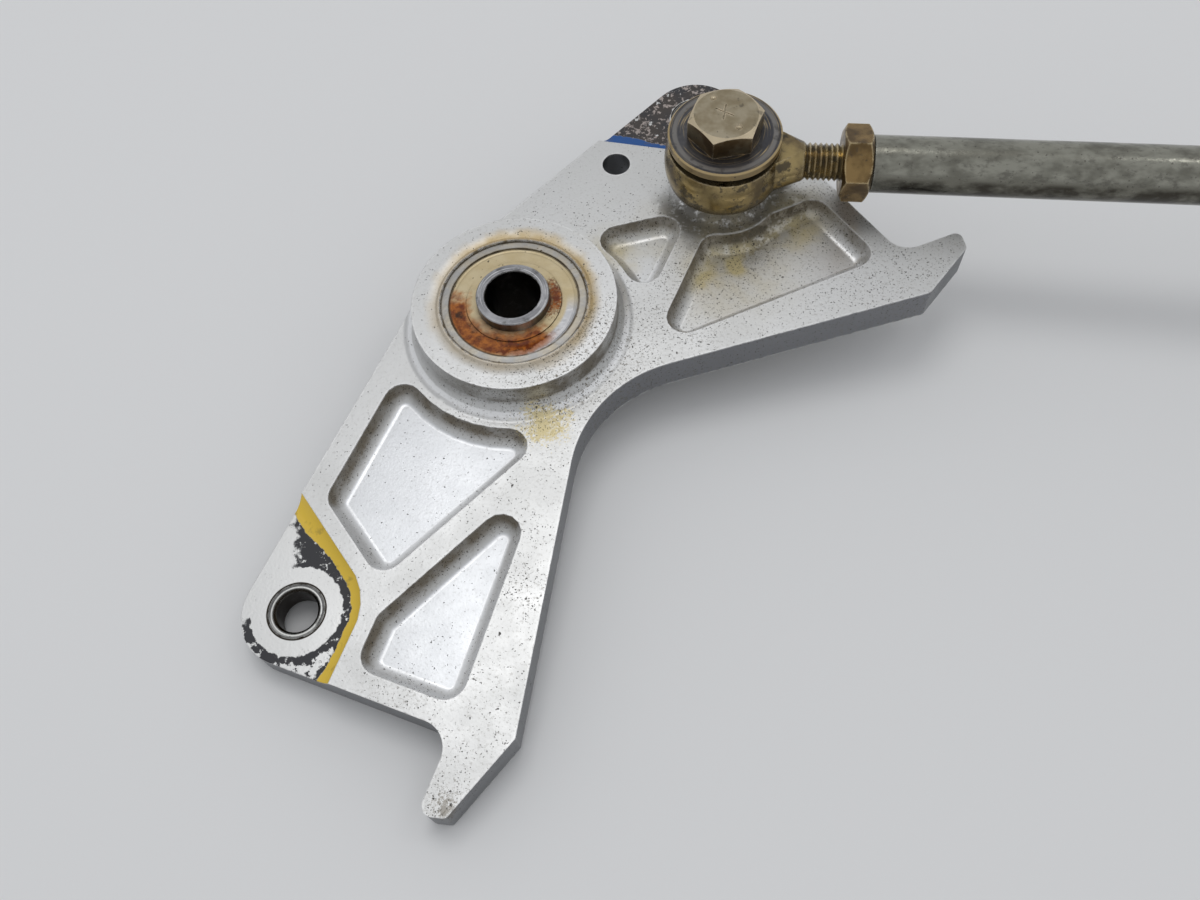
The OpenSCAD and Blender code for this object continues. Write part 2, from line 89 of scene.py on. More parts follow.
def vectorCalc(tree, operation, a, b=(0, 0, 0)):
    made = addNode(tree, "ShaderNodeVectorMath", {0: a, 1: b}, operation=operation)
    single = operation in ("DOT_PRODUCT", "LENGTH", "DISTANCE")
    return made.outputs["Value" if single else "Vector"]


def smooth(tree, value, low, high):
    made = addNode(tree, "ShaderNodeMapRange", {"Value": value, "From Min": low, "From Max": high},
                   interpolation_type="SMOOTHSTEP")
    return made.outputs["Result"]


def blend(tree, mask, a, b):
    made = addNode(tree, "ShaderNodeMix", {0: mask, 6: a, 7: b}, data_type="RGBA")
    return made.outputs[2]


def noise(tree, scale, detail=2.0, at=None, roughness=0.5):
    inputs = {"Scale": scale, "Detail": detail, "Roughness": roughness}
    if at is not None:
        inputs["Vector"] = at
    return addNode(tree, "ShaderNodeTexNoise", inputs).outputs["Fac"]


def objectPlace(tree):
    return addNode(tree, "ShaderNodeTexCoord").outputs["Object"]


def allOf(tree, *masks):
    result = masks[0]
    for mask in masks[1:]:
        result = times(tree, result, mask)
    return result


def anyOf(tree, *masks):
    result = masks[0]
    for mask in masks[1:]:
        result = calc(tree, "MAXIMUM", result, mask)
    return result


def separate(tree, vector):
    made = addNode(tree, "ShaderNodeSeparateXYZ", {0: vector})
    return made.outputs["X"], made.outputs["Y"], made.outputs["Z"]


def without(tree, mask):
    return minus(tree, 1.0, mask)


# effects that several finishes share
def newGroup(name, inputs, outputs):
    tree = bpy.data.node_groups.new(name, "ShaderNodeTree")
    for label, kind, value in inputs:
        socket = tree.interface.new_socket(label, in_out="INPUT", socket_type=kind)
        socket.default_value = value
    for label, kind in outputs:
        tree.interface.new_socket(label, in_out="OUTPUT", socket_type=kind)
    given = tree.nodes.new("NodeGroupInput").outputs
    result = tree.nodes.new("NodeGroupOutput").inputs
    return tree, given, result


def useGroup(tree, group, output, **inputs):
    made = tree.nodes.new("ShaderNodeGroup")
    made.node_tree = group
    for key, value in inputs.items():
        if isinstance(value, bpy.types.NodeSocket):
            tree.links.new(value, made.inputs[key])
        else:
            made.inputs[key].default_value = value
    return made.outputs[output]


# bright rubbed edges: short rays inside the solid meet the next face close by
edgeWear, given, result = newGroup("edgeWear", [("Width", "NodeSocketFloat", 0.4 * mm),
                                                ("Amount", "NodeSocketFloat", 1.0)],
                                   [("Edge", "NodeSocketFloat")])
inside = addNode(edgeWear, "ShaderNodeAmbientOcclusion", {"Distance": given["Width"]}, inside=True, samples=2)
rubbed = smooth(edgeWear, minus(edgeWear, 1.0, inside.outputs["AO"]), 0.18, 0.42)
broken = smooth(edgeWear, noise(edgeWear, 900, 3.0, objectPlace(edgeWear)), 0.30, 0.55)
edgeWear.links.new(times(edgeWear, allOf(edgeWear, rubbed, broken), given["Amount"], clamp=True),
                   result["Edge"])

# darker in corners and creases, where other faces close in
cornerDarkening, given, result = newGroup("cornerDarkening", [("Reach", "NodeSocketFloat", 2 * mm),
                                                    ("Amount", "NodeSocketFloat", 1.0)],
                                     [("Darkening", "NodeSocketFloat")])
around = addNode(cornerDarkening, "ShaderNodeAmbientOcclusion", {"Distance": given["Reach"]}, samples=2)
shut = smooth(cornerDarkening, minus(cornerDarkening, 1.0, around.outputs["AO"]), 0.15, 0.7)
uneven = smooth(cornerDarkening, noise(cornerDarkening, 420, 4.0, objectPlace(cornerDarkening)), 0.25, 0.62)
cornerDarkening.links.new(times(cornerDarkening, allOf(cornerDarkening, shut, uneven), given["Amount"], clamp=True),
                     result["Darkening"])

# separate dark specks of several sizes, more of them where Density is higher
specks, given, result = newGroup("specks", [("Scale", "NodeSocketFloat", 1100.0),
                                            ("Density", "NodeSocketFloat", 0.5),
                                            ("Size", "NodeSocketFloat", 0.2),
                                            ("Stretch", "NodeSocketVector", (1, 1, 1))],
                                 [("Specks", "NodeSocketFloat")])
place = objectPlace(specks)
shaken = addNode(specks, "ShaderNodeTexNoise", {"Vector": place, "Scale": 4200.0, "Detail": 0.0})
shift = vectorCalc(specks, "MULTIPLY", shaken.outputs["Color"], (0.35 * mm, 0.35 * mm, 0.35 * mm))
place = vectorCalc(specks, "ADD", place, shift)
place = vectorCalc(specks, "MULTIPLY", place, given["Stretch"])
cells = addNode(specks, "ShaderNodeTexVoronoi", {"Vector": place, "Scale": given["Scale"]})
chance, big = separate(specks, cells.outputs["Color"])[:2]
reach = times(specks, given["Size"], plus(specks, 0.45, times(specks, big, 0.75)))
dot = smooth(specks, calc(specks, "DIVIDE", cells.outputs["Distance"], reach), 1.0, 0.7)
specks.links.new(times(specks, dot, calc(specks, "LESS_THAN", chance, given["Density"])), result["Specks"])

# a ragged round patch that thins out towards its rim
patch, given, result = newGroup("patch", [("Centre", "NodeSocketVector", (0, 0, 0)),
                                          ("Radius", "NodeSocketFloat", 4 * mm),
                                          ("Ragged", "NodeSocketFloat", 0.5)], [("Mask", "NodeSocketFloat")])
place = objectPlace(patch)
reach = calc(patch, "DIVIDE", vectorCalc(patch, "DISTANCE", place, given["Centre"]), given["Radius"])
wander = plus(patch, noise(patch, 420, 3.0, place), times(patch, noise(patch, 2600, 2.0, place, 0.6), 1.6))
wander = times(patch, minus(patch, wander, 1.3), given["Ragged"])
patch.links.new(without(patch, smooth(patch, plus(patch, reach, wander), 0.25, 1.0)), result["Mask"])

# uneven satin: slow cloud and fine grain
satin, given, result = newGroup("satin", [("Cloud", "NodeSocketFloat", 90.0),
                                          ("Grain", "NodeSocketFloat", 2600.0)],
                                [("Cloud", "NodeSocketFloat"), ("Grain", "NodeSocketFloat")])
place = objectPlace(satin)
satin.links.new(smooth(satin, noise(satin, given["Cloud"], 4.0, place, 0.6), 0.3, 0.7), result["Cloud"])
satin.links.new(noise(satin, given["Grain"], 2.0, place), result["Grain"])
print("shared effects ready")


def newFinish(name):
    material = bpy.data.materials.new(name)
    material.use_nodes = True
    tree = material.node_tree
    tree.nodes.clear()
    shader = tree.nodes.new("ShaderNodeBsdfPrincipled")
    output = tree.nodes.new("ShaderNodeOutputMaterial")
    tree.links.new(shader.outputs["BSDF"], output.inputs["Surface"])
    return material, tree, shader


def surface(tree, shader, height, strength, distance, softEdge):
    rounded = addNode(tree, "ShaderNodeBevel", {"Radius": softEdge}, samples=2)
    bump = addNode(tree, "ShaderNodeBump", {"Height": height, "Strength": strength, "Distance": distance,
                                            "Normal": rounded.outputs["Normal"]})
    tree.links.new(bump.outputs["Normal"], shader.inputs["Normal"])


def wear(nodeNames, material):
    for name in nodeNames:
        slots = nodes[name].data.materials
        slots.clear()
        slots.append(material)


def flatDistance(tree, place, centre):
    offset = vectorCalc(tree, "SUBTRACT", place, (centre.x, centre.y, 0))
    flat = vectorCalc(tree, "MULTIPLY", offset, (1, 1, 0))
    return vectorCalc(tree, "LENGTH", flat), flat


def towards(angle):
    return (math.cos(math.radians(angle)), math.sin(math.radians(angle)), 0)


def lineAt(tree, value, centre, width):
    off = calc(tree, "ABSOLUTE", minus(tree, value, centre))
    return without(tree, smooth(tree, off, width * 0.4, width))


def ringAngle(tree, flat, away, angle):
    return calc(tree, "DIVIDE", vectorCalc(tree, "DOT_PRODUCT", flat, towards(angle)), away)


def spots(tree, place, rows):
    total = None
    for x, y, radius, amount in rows:
        away = vectorCalc(tree, "DISTANCE", vectorCalc(tree, "MULTIPLY", place, (1, 1, 0)), (x * mm, y * mm, 0))
        one = times(tree, without(tree, smooth(tree, away, radius * 0.2 * mm, radius * mm)), amount)
        total = one if total is None else plus(tree, total, one)
    return total


# a node's own shape again, with its near-tangent facets shaded as one curve and its flats left flat
def smoothCopy(nodeName, pieceName, body, angle):
    work = bmesh.new()
    work.from_mesh(nodes[nodeName].data)
    bmesh.ops.remove_doubles(work, verts=work.verts, dist=0.001 * mm)
    work.normal_update()
    close = math.cos(math.radians(angle))
    points = [v.co.copy() for v in work.verts]
    faces, normals = [], []
    for face in work.faces:
        faces.append([v.index for v in face.verts])
        for v in face.verts:
            near = [f for f in v.link_faces if f.normal.dot(face.normal) > close]
            flat = [f.normal for f in near if f.normal.z > 0.9995]
            mean = sum((f.normal * f.calc_area() for f in near), Vector())
            normals.append(flat[0].copy() if flat else mean.normalized() if mean.length else face.normal.copy())
    work.free()
    mesh = bpy.data.meshes.new(pieceName)
    mesh.from_pydata(points, [], faces)
    mesh.shade_smooth()
    mesh.normals_split_custom_set(normals)
    piece = bpy.data.objects.new(pieceName, mesh)
    bpy.context.scene.collection.objects.link(piece)
    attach(piece, body)
    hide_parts(nodeName)
    return piece


# the milled plate; spots are x, y, radius in mm and strength, speck rows are scale, share, size and stretch
# side paints a dark reflection on the outer faces, the near-white wall colour paints light on walls facing away
# and along the boss foot, and the grime and smear colours also paint shade
plateLook = {
    "bare": (0.64, 0.64, 0.635, 1), "dull": (0.55, 0.55, 0.535, 1), "pocketFloor": (0.67, 0.68, 0.695, 1),
    "side": (0.17, 0.175, 0.19, 1), "bright": (0.84, 0.84, 0.83, 1), "lugFace": (0.70, 0.70, 0.69, 1),
    "paintedWallLight": (0.93, 0.93, 0.93, 1), "grimeAndShade": (0.115, 0.088, 0.048, 1), "film": (0.52, 0.44, 0.24, 1),
    "grease": (0.70, 0.59, 0.31, 1), "dish": (0.52, 0.37, 0.14, 1), "dishStain": (0.30, 0.18, 0.06, 1),
    "speck": (0.022, 0.016, 0.010, 1), "smearAndShade": (0.050, 0.040, 0.024, 1), "chips": (0.42, 0.36, 0.33, 1),
    "yellowPaint": (0.76, 0.52, 0.05, 1), "bluePaint": (0.004, 0.080, 0.30, 1),
    "blackPaint": (0.022, 0.022, 0.027, 1), "brownPaint": (0.048, 0.037, 0.030, 1),
    "lowerStart": 8.2 * mm, "upperStart": 7.7 * mm, "lowerRing": 7.0 * mm, "upperRing": 4.7 * mm,
    "lowerStep": (41.5, 27.7, 13.9, 0.1, -13.7), "upperStep": (-41.3, -55.2, -69.05, -82.9, -96.8),
    "stepEnd": 10.0 * mm, "paintSide": -31.0, "flakeSide": -105, "bushGap": (4.42 * mm, 0.22 * mm),
    "plateTop": 6.35 * mm, "pocketFloorTop": 3.6 * mm, "wallLow": 3.0 * mm, "wallSlope": 0.98,
    "wallSide": (0.50, -0.80, 0), "bossSide": (0.65, -0.75, 0), "smoothAngle": 24,
    "greaseSpot": (6.9 * mm, -19.0 * mm, 6.35 * mm), "greaseRadius": 4.4 * mm,
    "hornTip": (0.8 * mm, -79.0 * mm, 6.35 * mm), "tipRadius": 2.6 * mm,
    "seatShadeAndGrime": (-15.0, -100.0), "seatReach": (10.6 * mm, 13.5 * mm), "seam": (12.05 * mm, 0.30 * mm),
    "dishSide": 60, "dishHeight": (11.8 * mm, 12.0 * mm), "dishSpan": (12.6 * mm, 15.2 * mm),
    "stainSpan": (12.1 * mm, 13.2 * mm), "speckLean": (0.95, -0.15, 0),
    "speckRows": ((420.0, 0.5, 0.11, (1.5, 0.8, 1.2)), (1250.0, 1.1, 0.19, (0.8, 1.4, 1.1)),
                  (2600.0, 1.7, 0.30, (1, 1, 1))),
    "dirtySpots": ((9, -12, 10, 0.90), (15, -5, 8, 0.75), (17, -9, 11, 0.40), (27, 9, 8, 0.30),
                   (31, 12, 9, 0.45), (36, 21, 9, 0.85), (27, -2, 14, 0.22), (50, 26, 9, 0.22),
                   (8, -47, 6, 0.35), (-9, -63, 7, 0.35), (1, -77, 5, 0.40), (62, 14, 14, 0.16),
                   (-3, -16, 9, 0.25), (6, -18, 6, 0.35), (13, 33, 14, -0.16), (-20, -10, 14, -0.05)),
    "filmSpots": ((46, 26, 9, 0.9), (35.7, 15.6, 3, 0.9), (30, 13, 5, 0.7), (14, 16, 7, 0.8), (22, 22, 8, 0.3),
                  (34, 21, 8, 0.6), (36, 14, 16, 0.35)),
    "smearAndShadeSpots": ((36.5, 21.5, 6, 1.5), (45, 27, 5, 1.1), (30, 18, 4, 0.7), (41, 24, 5, 1.0)),
}


def stepDistance(tree, flat, angles):
    return anyOf(tree, *[vectorCalc(tree, "DOT_PRODUCT", flat, towards(a)) for a in angles])


def plateFinish(look):
    material, tree, shader = newFinish("plateAluminium")
    place = objectPlace(tree)
    x, z = separate(tree, place)[::2]
    normal = addNode(tree, "ShaderNodeTexCoord").outputs["Normal"]
    facing = separate(tree, normal)[2]
    ragged = minus(tree, noise(tree, 900, 4.0, place, 0.6), 0.5)
    blotch = smooth(tree, noise(tree, 260, 4.0, place), 0.28, 0.66)

    # satin base, whiter on the pocket floors, with a painted dark reflection on the outer sides, darkest where
    # they face front
    cloud = useGroup(tree, satin, "Cloud")
    grain = useGroup(tree, satin, "Grain")
    colour = blend(tree, times(tree, cloud, 0.45), look["bare"], look["dull"])
    level = smooth(tree, facing, 0.80, 0.97)
    low = without(tree, smooth(tree, z, look["pocketFloorTop"] - 0.2 * mm, look["pocketFloorTop"]))
    colour = blend(tree, allOf(tree, level, low, smooth(tree, x, 30 * mm, 8 * mm)), colour, look["pocketFloor"])
    upright = without(tree, smooth(tree, facing, 0.10, 0.45))
    front = smooth(tree, vectorCalc(tree, "DOT_PRODUCT", normal, look["wallSide"]), -0.35, 0.3)
    sunk = addNode(tree, "ShaderNodeAttribute", attribute_name="sunk").outputs["Fac"]
    onPlate = without(tree, smooth(tree, z, look["plateTop"], look["plateTop"] + 1.5 * mm))
    outer = plus(tree, 0.30, times(tree, front, 0.60))
    colour = blend(tree, allOf(tree, upright, outer, without(tree, sunk), onPlate), colour, look["side"])

    # pocket walls that face away get a painted highlight; the others and the front of the boss carry grime with
    # painted shade
    colour = blend(tree, allOf(tree, sunk, without(tree, front), 0.9), colour, look["paintedWallLight"])
    steep = without(tree, smooth(tree, facing, 0.50, 0.93))
    wallGrimeAndShade = allOf(tree, steep, sunk, front, onPlate, plus(tree, 0.62, times(tree, blotch, 0.38)))
    bossGrimeAndShade = allOf(tree, upright, without(tree, onPlate),
                      smooth(tree, vectorCalc(tree, "DOT_PRODUCT", normal, look["bossSide"]), -0.1, 0.85),
                      plus(tree, 0.2, blotch))
    # smears by the bolt seat, under the rod end: grime with painted shade
    smearAndShade = times(tree, spots(tree, place, look["smearAndShadeSpots"]),
                  smooth(tree, noise(tree, 520, 3.0, place, 0.65), 0.40, 0.58), clamp=True)
    tip = useGroup(tree, patch, "Mask", Centre=look["hornTip"], Radius=look["tipRadius"], Ragged=2.2)
    colour = blend(tree, anyOf(tree, times(tree, wallGrimeAndShade, 0.90), times(tree, bossGrimeAndShade, 0.70),
                               times(tree, tip, 0.6)), colour, look["grimeAndShade"])
    # a painted highlight along the fillets at the foot of the bosses
    bossFootHighlight = allOf(tree, lineAt(tree, facing, 0.84, 0.12),
                     smooth(tree, z, look["plateTop"] + 0.05 * mm, look["plateTop"] + 0.2 * mm),
                     without(tree, smooth(tree, z, look["plateTop"] + 2.0 * mm, look["plateTop"] + 2.6 * mm)))
    colour = blend(tree, times(tree, bossFootHighlight, 0.9), colour, look["paintedWallLight"])
    # the foot of the bolt seat darker towards the rod and the front: grime with painted shade
    seatAway, seatFlat = flatDistance(tree, place, boltAxis)
    seatSides = [smooth(tree, ringAngle(tree, seatFlat, seatAway, a), 0.1, 0.8) for a in look["seatShadeAndGrime"]]
    onSeat = allOf(tree, without(tree, smooth(tree, seatAway, *look["seatReach"])), anyOf(tree, *seatSides),
                   without(tree, sunk), smooth(tree, noise(tree, 640, 3.0, place, 0.65), 0.30, 0.48))
    colour = blend(tree, times(tree, anyOf(tree, smearAndShade, onSeat), 0.85), colour, look["smearAndShade"])

    # tan film in the upper arm, in the dish round the bearing and in front of the boss
    away, flat = flatDistance(tree, place, sleeveAxis)
    dishSide = smooth(tree, ringAngle(tree, flat, away, look["dishSide"]), -0.7, 0.7)
    dishSide = plus(tree, 0.50, times(tree, dishSide, 0.5))
    uneven = plus(tree, away, times(tree, minus(tree, blotch, 0.5), 0.9 * mm))
    dish = allOf(tree, smooth(tree, z, *look["dishHeight"]),
                 without(tree, smooth(tree, uneven, *look["dishSpan"])), dishSide)
    film = times(tree, spots(tree, place, look["filmSpots"]), plus(tree, 0.30, times(tree, blotch, 0.70)),
                 clamp=True)
    onBare = without(tree, times(tree, smooth(tree, z, 6.2 * mm, 6.3 * mm), 0.5))
    colour = blend(tree, allOf(tree, film, onBare, without(tree, times(tree, wallGrimeAndShade, 0.95))), colour,
                   look["film"])
    spot = useGroup(tree, patch, "Mask", Centre=look["greaseSpot"], Radius=look["greaseRadius"], Ragged=1.5)
    grease = anyOf(tree, dish, times(tree, spot, 0.8))
    colour = blend(tree, times(tree, dish, 0.85), colour, look["dish"])
    colour = blend(tree, allOf(tree, dish, without(tree, smooth(tree, uneven, *look["stainSpan"])),
                               plus(tree, 0.15, times(tree, blotch, 0.6))), colour, look["dishStain"])
    colour = blend(tree, times(tree, spot, 0.92), colour, look["grease"])
    seam = lineAt(tree, away, *look["seam"])
    colour = blend(tree, allOf(tree, seam, smooth(tree, z, 11.5 * mm, 11.9 * mm), plus(tree, 0.4, blotch)),
                   colour, look["grimeAndShade"])

    # specks, and a finer grain of dirt
    wander = times(tree, minus(tree, noise(tree, 150, 3.0, place), 0.5), 2.2)
    lean = smooth(tree, vectorCalc(tree, "DOT_PRODUCT", place, look["speckLean"]), -26 * mm, 30 * mm)
    density = plus(tree, times(tree, lean, 0.20), spots(tree, place, look["dirtySpots"]))
    density = plus(tree, plus(tree, density, 0.07), times(tree, anyOf(tree, wallGrimeAndShade, bossGrimeAndShade), 0.95))
    density = times(tree, density, plus(tree, 1.0, wander))
    cleanFloor = times(tree, allOf(tree, low, smooth(tree, x, 14 * mm, 4 * mm)), 0.6)
    density = allOf(tree, density, without(tree, cleanFloor))
    dots = anyOf(tree, *[useGroup(tree, specks, "Specks", Scale=scale, Density=times(tree, density, share),
                                  Size=size, Stretch=stretch)
                         for scale, share, size, stretch in look["speckRows"]])
    dust = allOf(tree, smooth(tree, noise(tree, 1900, 3.0, place, 0.7), 0.52, 0.72),
                 plus(tree, 0.12, times(tree, density, 0.7), clamp=True))
    colour = blend(tree, dust, colour, look["grimeAndShade"])
    colour = blend(tree, times(tree, dots, 0.9), colour, look["speck"])

    edge = useGroup(tree, edgeWear, "Edge", Width=0.40 * mm, Amount=0.8)
    colour = blend(tree, edge, colour, look["bright"])

    # paint left on the two lugs
    upward = smooth(tree, facing, 0.15, 0.3)
    below = without(tree, smooth(tree, z, look["plateTop"] - 0.08 * mm, look["plateTop"] - 0.02 * mm))
    flaking = noise(tree, 760, 4.0, place, 0.7)
    worn = times(tree, smooth(tree, noise(tree, 520, 3.0, place), 0.60, 0.72), 0.35)
    chipped = smooth(tree, noise(tree, 1150, 3.0, place, 0.65), 0.53, 0.60)
    painted = []
    for lug, part, paint, allOver in ((lowerLug, "lower", look["yellowPaint"], 0.0),
                                      (upperLug, "upper", look["bluePaint"], 1.0)):
        bandStart, ringRadius = look[part + "Start"], look[part + "Ring"]
        away, flat = flatDistance(tree, place, lug)
        step = stepDistance(tree, flat, look[part + "Step"])
        onLug = allOf(tree, without(tree, smooth(tree, step, look["stepEnd"], look["stepEnd"] + 0.1 * mm)),
                      below, upward)
        widening = times(tree, smooth(tree, away, 9 * mm, 13 * mm), 0.9 * mm)
        loose = plus(tree, plus(tree, step, widening), times(tree, ragged, 0.9 * mm))
        band = allOf(tree, smooth(tree, loose, bandStart - 0.08 * mm, bandStart + 0.08 * mm), onLug)
        rim = plus(tree, away, times(tree, ragged, 1.3 * mm))
        outside = smooth(tree, rim, ringRadius - 0.06 * mm, ringRadius + 0.10 * mm)
        turned = plus(tree, ringAngle(tree, flat, away, look["paintSide"]), times(tree, ragged, 0.35))
        side = smooth(tree, turned, -0.72, -0.66)
        # flakes come off towards the lug's outer edge
        bottom = allOf(tree, smooth(tree, ringAngle(tree, flat, away, look["flakeSide"]), 0.2, 0.6),
                       smooth(tree, away, 7.6 * mm, 8.6 * mm))
        missing = plus(tree, 0.36 - 0.02 * allOver, times(tree, bottom, 0.17 * (1 - allOver)))
        flakes = smooth(tree, flaking, missing, plus(tree, missing, 0.04))
        black = allOf(tree, outside, anyOf(tree, side, allOver), flakes, onLug, without(tree, band))
        colour = blend(tree, times(tree, onLug, 0.8), colour, look["lugFace"])
        mottled = blend(tree, allOf(tree, blotch, allOver), look["blackPaint"], look["brownPaint"])
        mottled = blend(tree, times(tree, chipped, 0.9 * allOver), mottled, look["chips"])
        colour = blend(tree, band, colour, blend(tree, worn, paint, look["grimeAndShade"]))
        colour = blend(tree, black, colour, mottled)
        gap = allOf(tree, lineAt(tree, away, *look["bushGap"]), below)
        colour = blend(tree, gap, colour, look["speck"])
        painted += [band, black]
    paintMask = anyOf(tree, *painted)

    tree.links.new(colour, shader.inputs["Base Color"])
    # paint, dirt and painted shade take away the metal and add roughness
    dirtAndShade = anyOf(tree, paintMask, times(tree, dots, 0.9), times(tree, anyOf(tree, grease, film), 0.7),
                  times(tree, anyOf(tree, wallGrimeAndShade, smearAndShade, onSeat, dust), 0.9))
    tree.links.new(minus(tree, 0.85, times(tree, dirtAndShade, 0.85)), shader.inputs["Metallic"])
    tree.links.new(plus(tree, 0.35, times(tree, anyOf(tree, times(tree, cloud, 0.5), dirtAndShade), 0.16)),
                   shader.inputs["Roughness"])
    raised = plus(tree, times(tree, grain, 0.30), paintMask)
    surface(tree, shader, raised, 0.5, 0.09 * mm, 0.25 * mm)
    return material


plate = smoothCopy("crank_plate", "milledPlate", "crank", plateLook["smoothAngle"])
plate.data.materials.append(plateFinish(plateLook))
# sloping faces between the pocket floors and the top are the pocket walls
sunkFaces = plate.data.attributes.new("sunk", "FLOAT", "FACE")
for face in plate.data.polygons:
    heights = [plate.data.vertices[i].co.z for i in face.vertices]
    between = min(heights) > plateLook["wallLow"] and max(heights) < plateLook["plateTop"] + 0.01 * mm
    sunkFaces.data[face.index].value = 1.0 if between and abs(face.normal.z) < plateLook["wallSlope"] else 0.0
print("plate finished")


# plain metals with cloud, darkening in corners and rubbed edges; side is the colour of upright faces
def metalFinish(name, look):
    material, tree, shader = newFinish(name)
    place = vectorCalc(tree, "MULTIPLY", objectPlace(tree), look.get("stretch", (1, 1, 1)))
    facing = separate(tree, addNode(tree, "ShaderNodeTexCoord").outputs["Normal"])[2]
    cloud = smooth(tree, noise(tree, look.get("cloudScale", 220.0), 3.0, place, 0.62), 0.36, 0.64)
    grain = noise(tree, look.get("grainScale", 3000.0), 2.0, place)
    colour = blend(tree, cloud, look["base"], look["second"])
    # upright faces take the side colour; on the bolt, tube, sleeve and bushes it is painted shade
    if "side" in look:
        colour = blend(tree, without(tree, smooth(tree, facing, 0.15, 0.55)), colour,
                       blend(tree, cloud, look["side"], look["second"]))
    # a painted highlight on faces sloped between level and upright
    if "chamferHighlight" in look:
        colour = blend(tree, lineAt(tree, facing, 0.80, 0.16), colour, look["chamferHighlight"])
    rub = None
    if "turned" in look:
        # concentric rub marks about a standing axis
        away, flat = flatDistance(tree, objectPlace(tree), look["turned"])
        rings = addNode(tree, "ShaderNodeCombineXYZ", {0: times(tree, away, 5200.0)}).outputs[0]
        drift = vectorCalc(tree, "MULTIPLY", flat, (160, 160, 160))
        rub = noise(tree, 1.0, 3.0, vectorCalc(tree, "ADD", rings, drift))
        colour = blend(tree, smooth(tree, rub, 0.52, 0.70), colour, look["bright"])
        # rings of colour about the axis; the sleeve's ring and the bushes' innermost ring paint shade at the
        # bore, the bushes' bright ring a highlight
        for radius, width, tint in look.get("bands", ()):
            colour = blend(tree, lineAt(tree, away, radius * mm, width * mm), colour, tint)
    stain = smooth(tree, noise(tree, look.get("stainScale", 330.0), 4.0, place, 0.68),
                   0.62 - 0.2 * look.get("stains", 0.3),
                   0.62 + look.get("stainSoft", 0.08) - 0.2 * look.get("stains", 0.3))
    # darker towards the bottom
    if "darkBelow" in look:
        height = separate(tree, objectPlace(tree))[2]
        under = without(tree, smooth(tree, plus(tree, height, times(tree, minus(tree, grain, 0.5), 2 * mm)),
                                     *look["darkBelow"]))
        stain = anyOf(tree, stain, under)
    # darker in corners, where other faces close in
    cornerDark = useGroup(tree, cornerDarkening, "Darkening", Reach=look.get("cornerDarkReach", 1.5 * mm),
                    Amount=look.get("cornerDark", 0.6))
    dots = useGroup(tree, specks, "Specks", Scale=1500.0, Density=look.get("specks", 0.12), Size=0.24)
    dark = anyOf(tree, cornerDark, times(tree, dots, 0.8), times(tree, stain, look.get("stainDepth", 0.5)))
    colour = blend(tree, dark, colour, look["grimeAndShade"])
    edge = useGroup(tree, edgeWear, "Edge", Width=look.get("edgeWidth", 0.35 * mm),
                    Amount=look.get("edge", 0.8))
    colour = blend(tree, edge, colour, look["bright"])
    tree.links.new(colour, shader.inputs["Base Color"])
    tree.links.new(minus(tree, look.get("metal", 1.0), times(tree, dark, 0.7)), shader.inputs["Metallic"])
    tree.links.new(plus(tree, look["rough"], times(tree, anyOf(tree, cloud, dark), 0.12)),
                   shader.inputs["Roughness"])
    height = plus(tree, grain, times(tree, cloud, 0.5))
    if rub is not None:
        height = plus(tree, height, rub)
    surface(tree, shader, height, look.get("relief", 0.25), 0.05 * mm, look.get("round", 0.15 * mm))
    return material


# near-black for grime and for painted shade in the bores
blackGrimeAndShade = (0.020, 0.016, 0.012, 1)
# the bolt's side colour paints shade on the hex flanks, its chamfer colour a highlight
boltLook = {"base": (0.42, 0.365, 0.265, 1), "second": (0.26, 0.215, 0.14, 1), "side": (0.165, 0.108, 0.052, 1),
            "bright": (0.85, 0.70, 0.50, 1), "chamferHighlight": (0.62, 0.52, 0.36, 1), "grimeAndShade": blackGrimeAndShade,
            "rough": 0.30, "edgeWidth": 0.3 * mm, "stains": 0.2}
# the rod end bodies get darker towards the bottom
goldLook = {"base": (0.42, 0.32, 0.15, 1), "second": (0.17, 0.13, 0.075, 1), "bright": (0.80, 0.66, 0.42, 1),
            "grimeAndShade": blackGrimeAndShade, "rough": 0.19, "cornerDark": 1.0, "cornerDarkReach": 2.6 * mm, "cloudScale": 170.0,
            "stains": 0.5, "stainDepth": 0.8, "darkBelow": (10.6 * mm, 13.0 * mm)}
jamLook = {"base": (0.31, 0.205, 0.088, 1), "second": (0.13, 0.085, 0.040, 1), "bright": (0.85, 0.70, 0.42, 1),
           "grimeAndShade": blackGrimeAndShade, "rough": 0.23, "cornerDark": 0.9, "stains": 0.3, "edge": 1.0}
washerLook = {"base": (0.115, 0.112, 0.115, 1), "second": (0.065, 0.065, 0.072, 1),
              "side": (0.24, 0.165, 0.075, 1), "bright": (0.44, 0.345, 0.20, 1), "grimeAndShade": blackGrimeAndShade,
              "rough": 0.28, "turned": boltAxis,
              "bands": ((9.4, 0.22, (0.50, 0.38, 0.20, 1)), (8.4, 0.55, (0.20, 0.19, 0.18, 1)))}
# the tube's side colour paints shade along its underside
tubeLook = {"base": (0.34, 0.335, 0.285, 1), "second": (0.19, 0.185, 0.155, 1),
            "side": (0.055, 0.050, 0.040, 1), "bright": (0.62, 0.62, 0.57, 1), "grimeAndShade": (0.085, 0.08, 0.065, 1),
            "rough": 0.15, "cloudScale": 300.0, "stretch": (0.6, 1, 1), "stains": 0.55, "stainScale": 900.0,
            "stainDepth": 0.62, "stainSoft": 0.18, "specks": 0.3, "relief": 0.45, "grainScale": 1500.0}
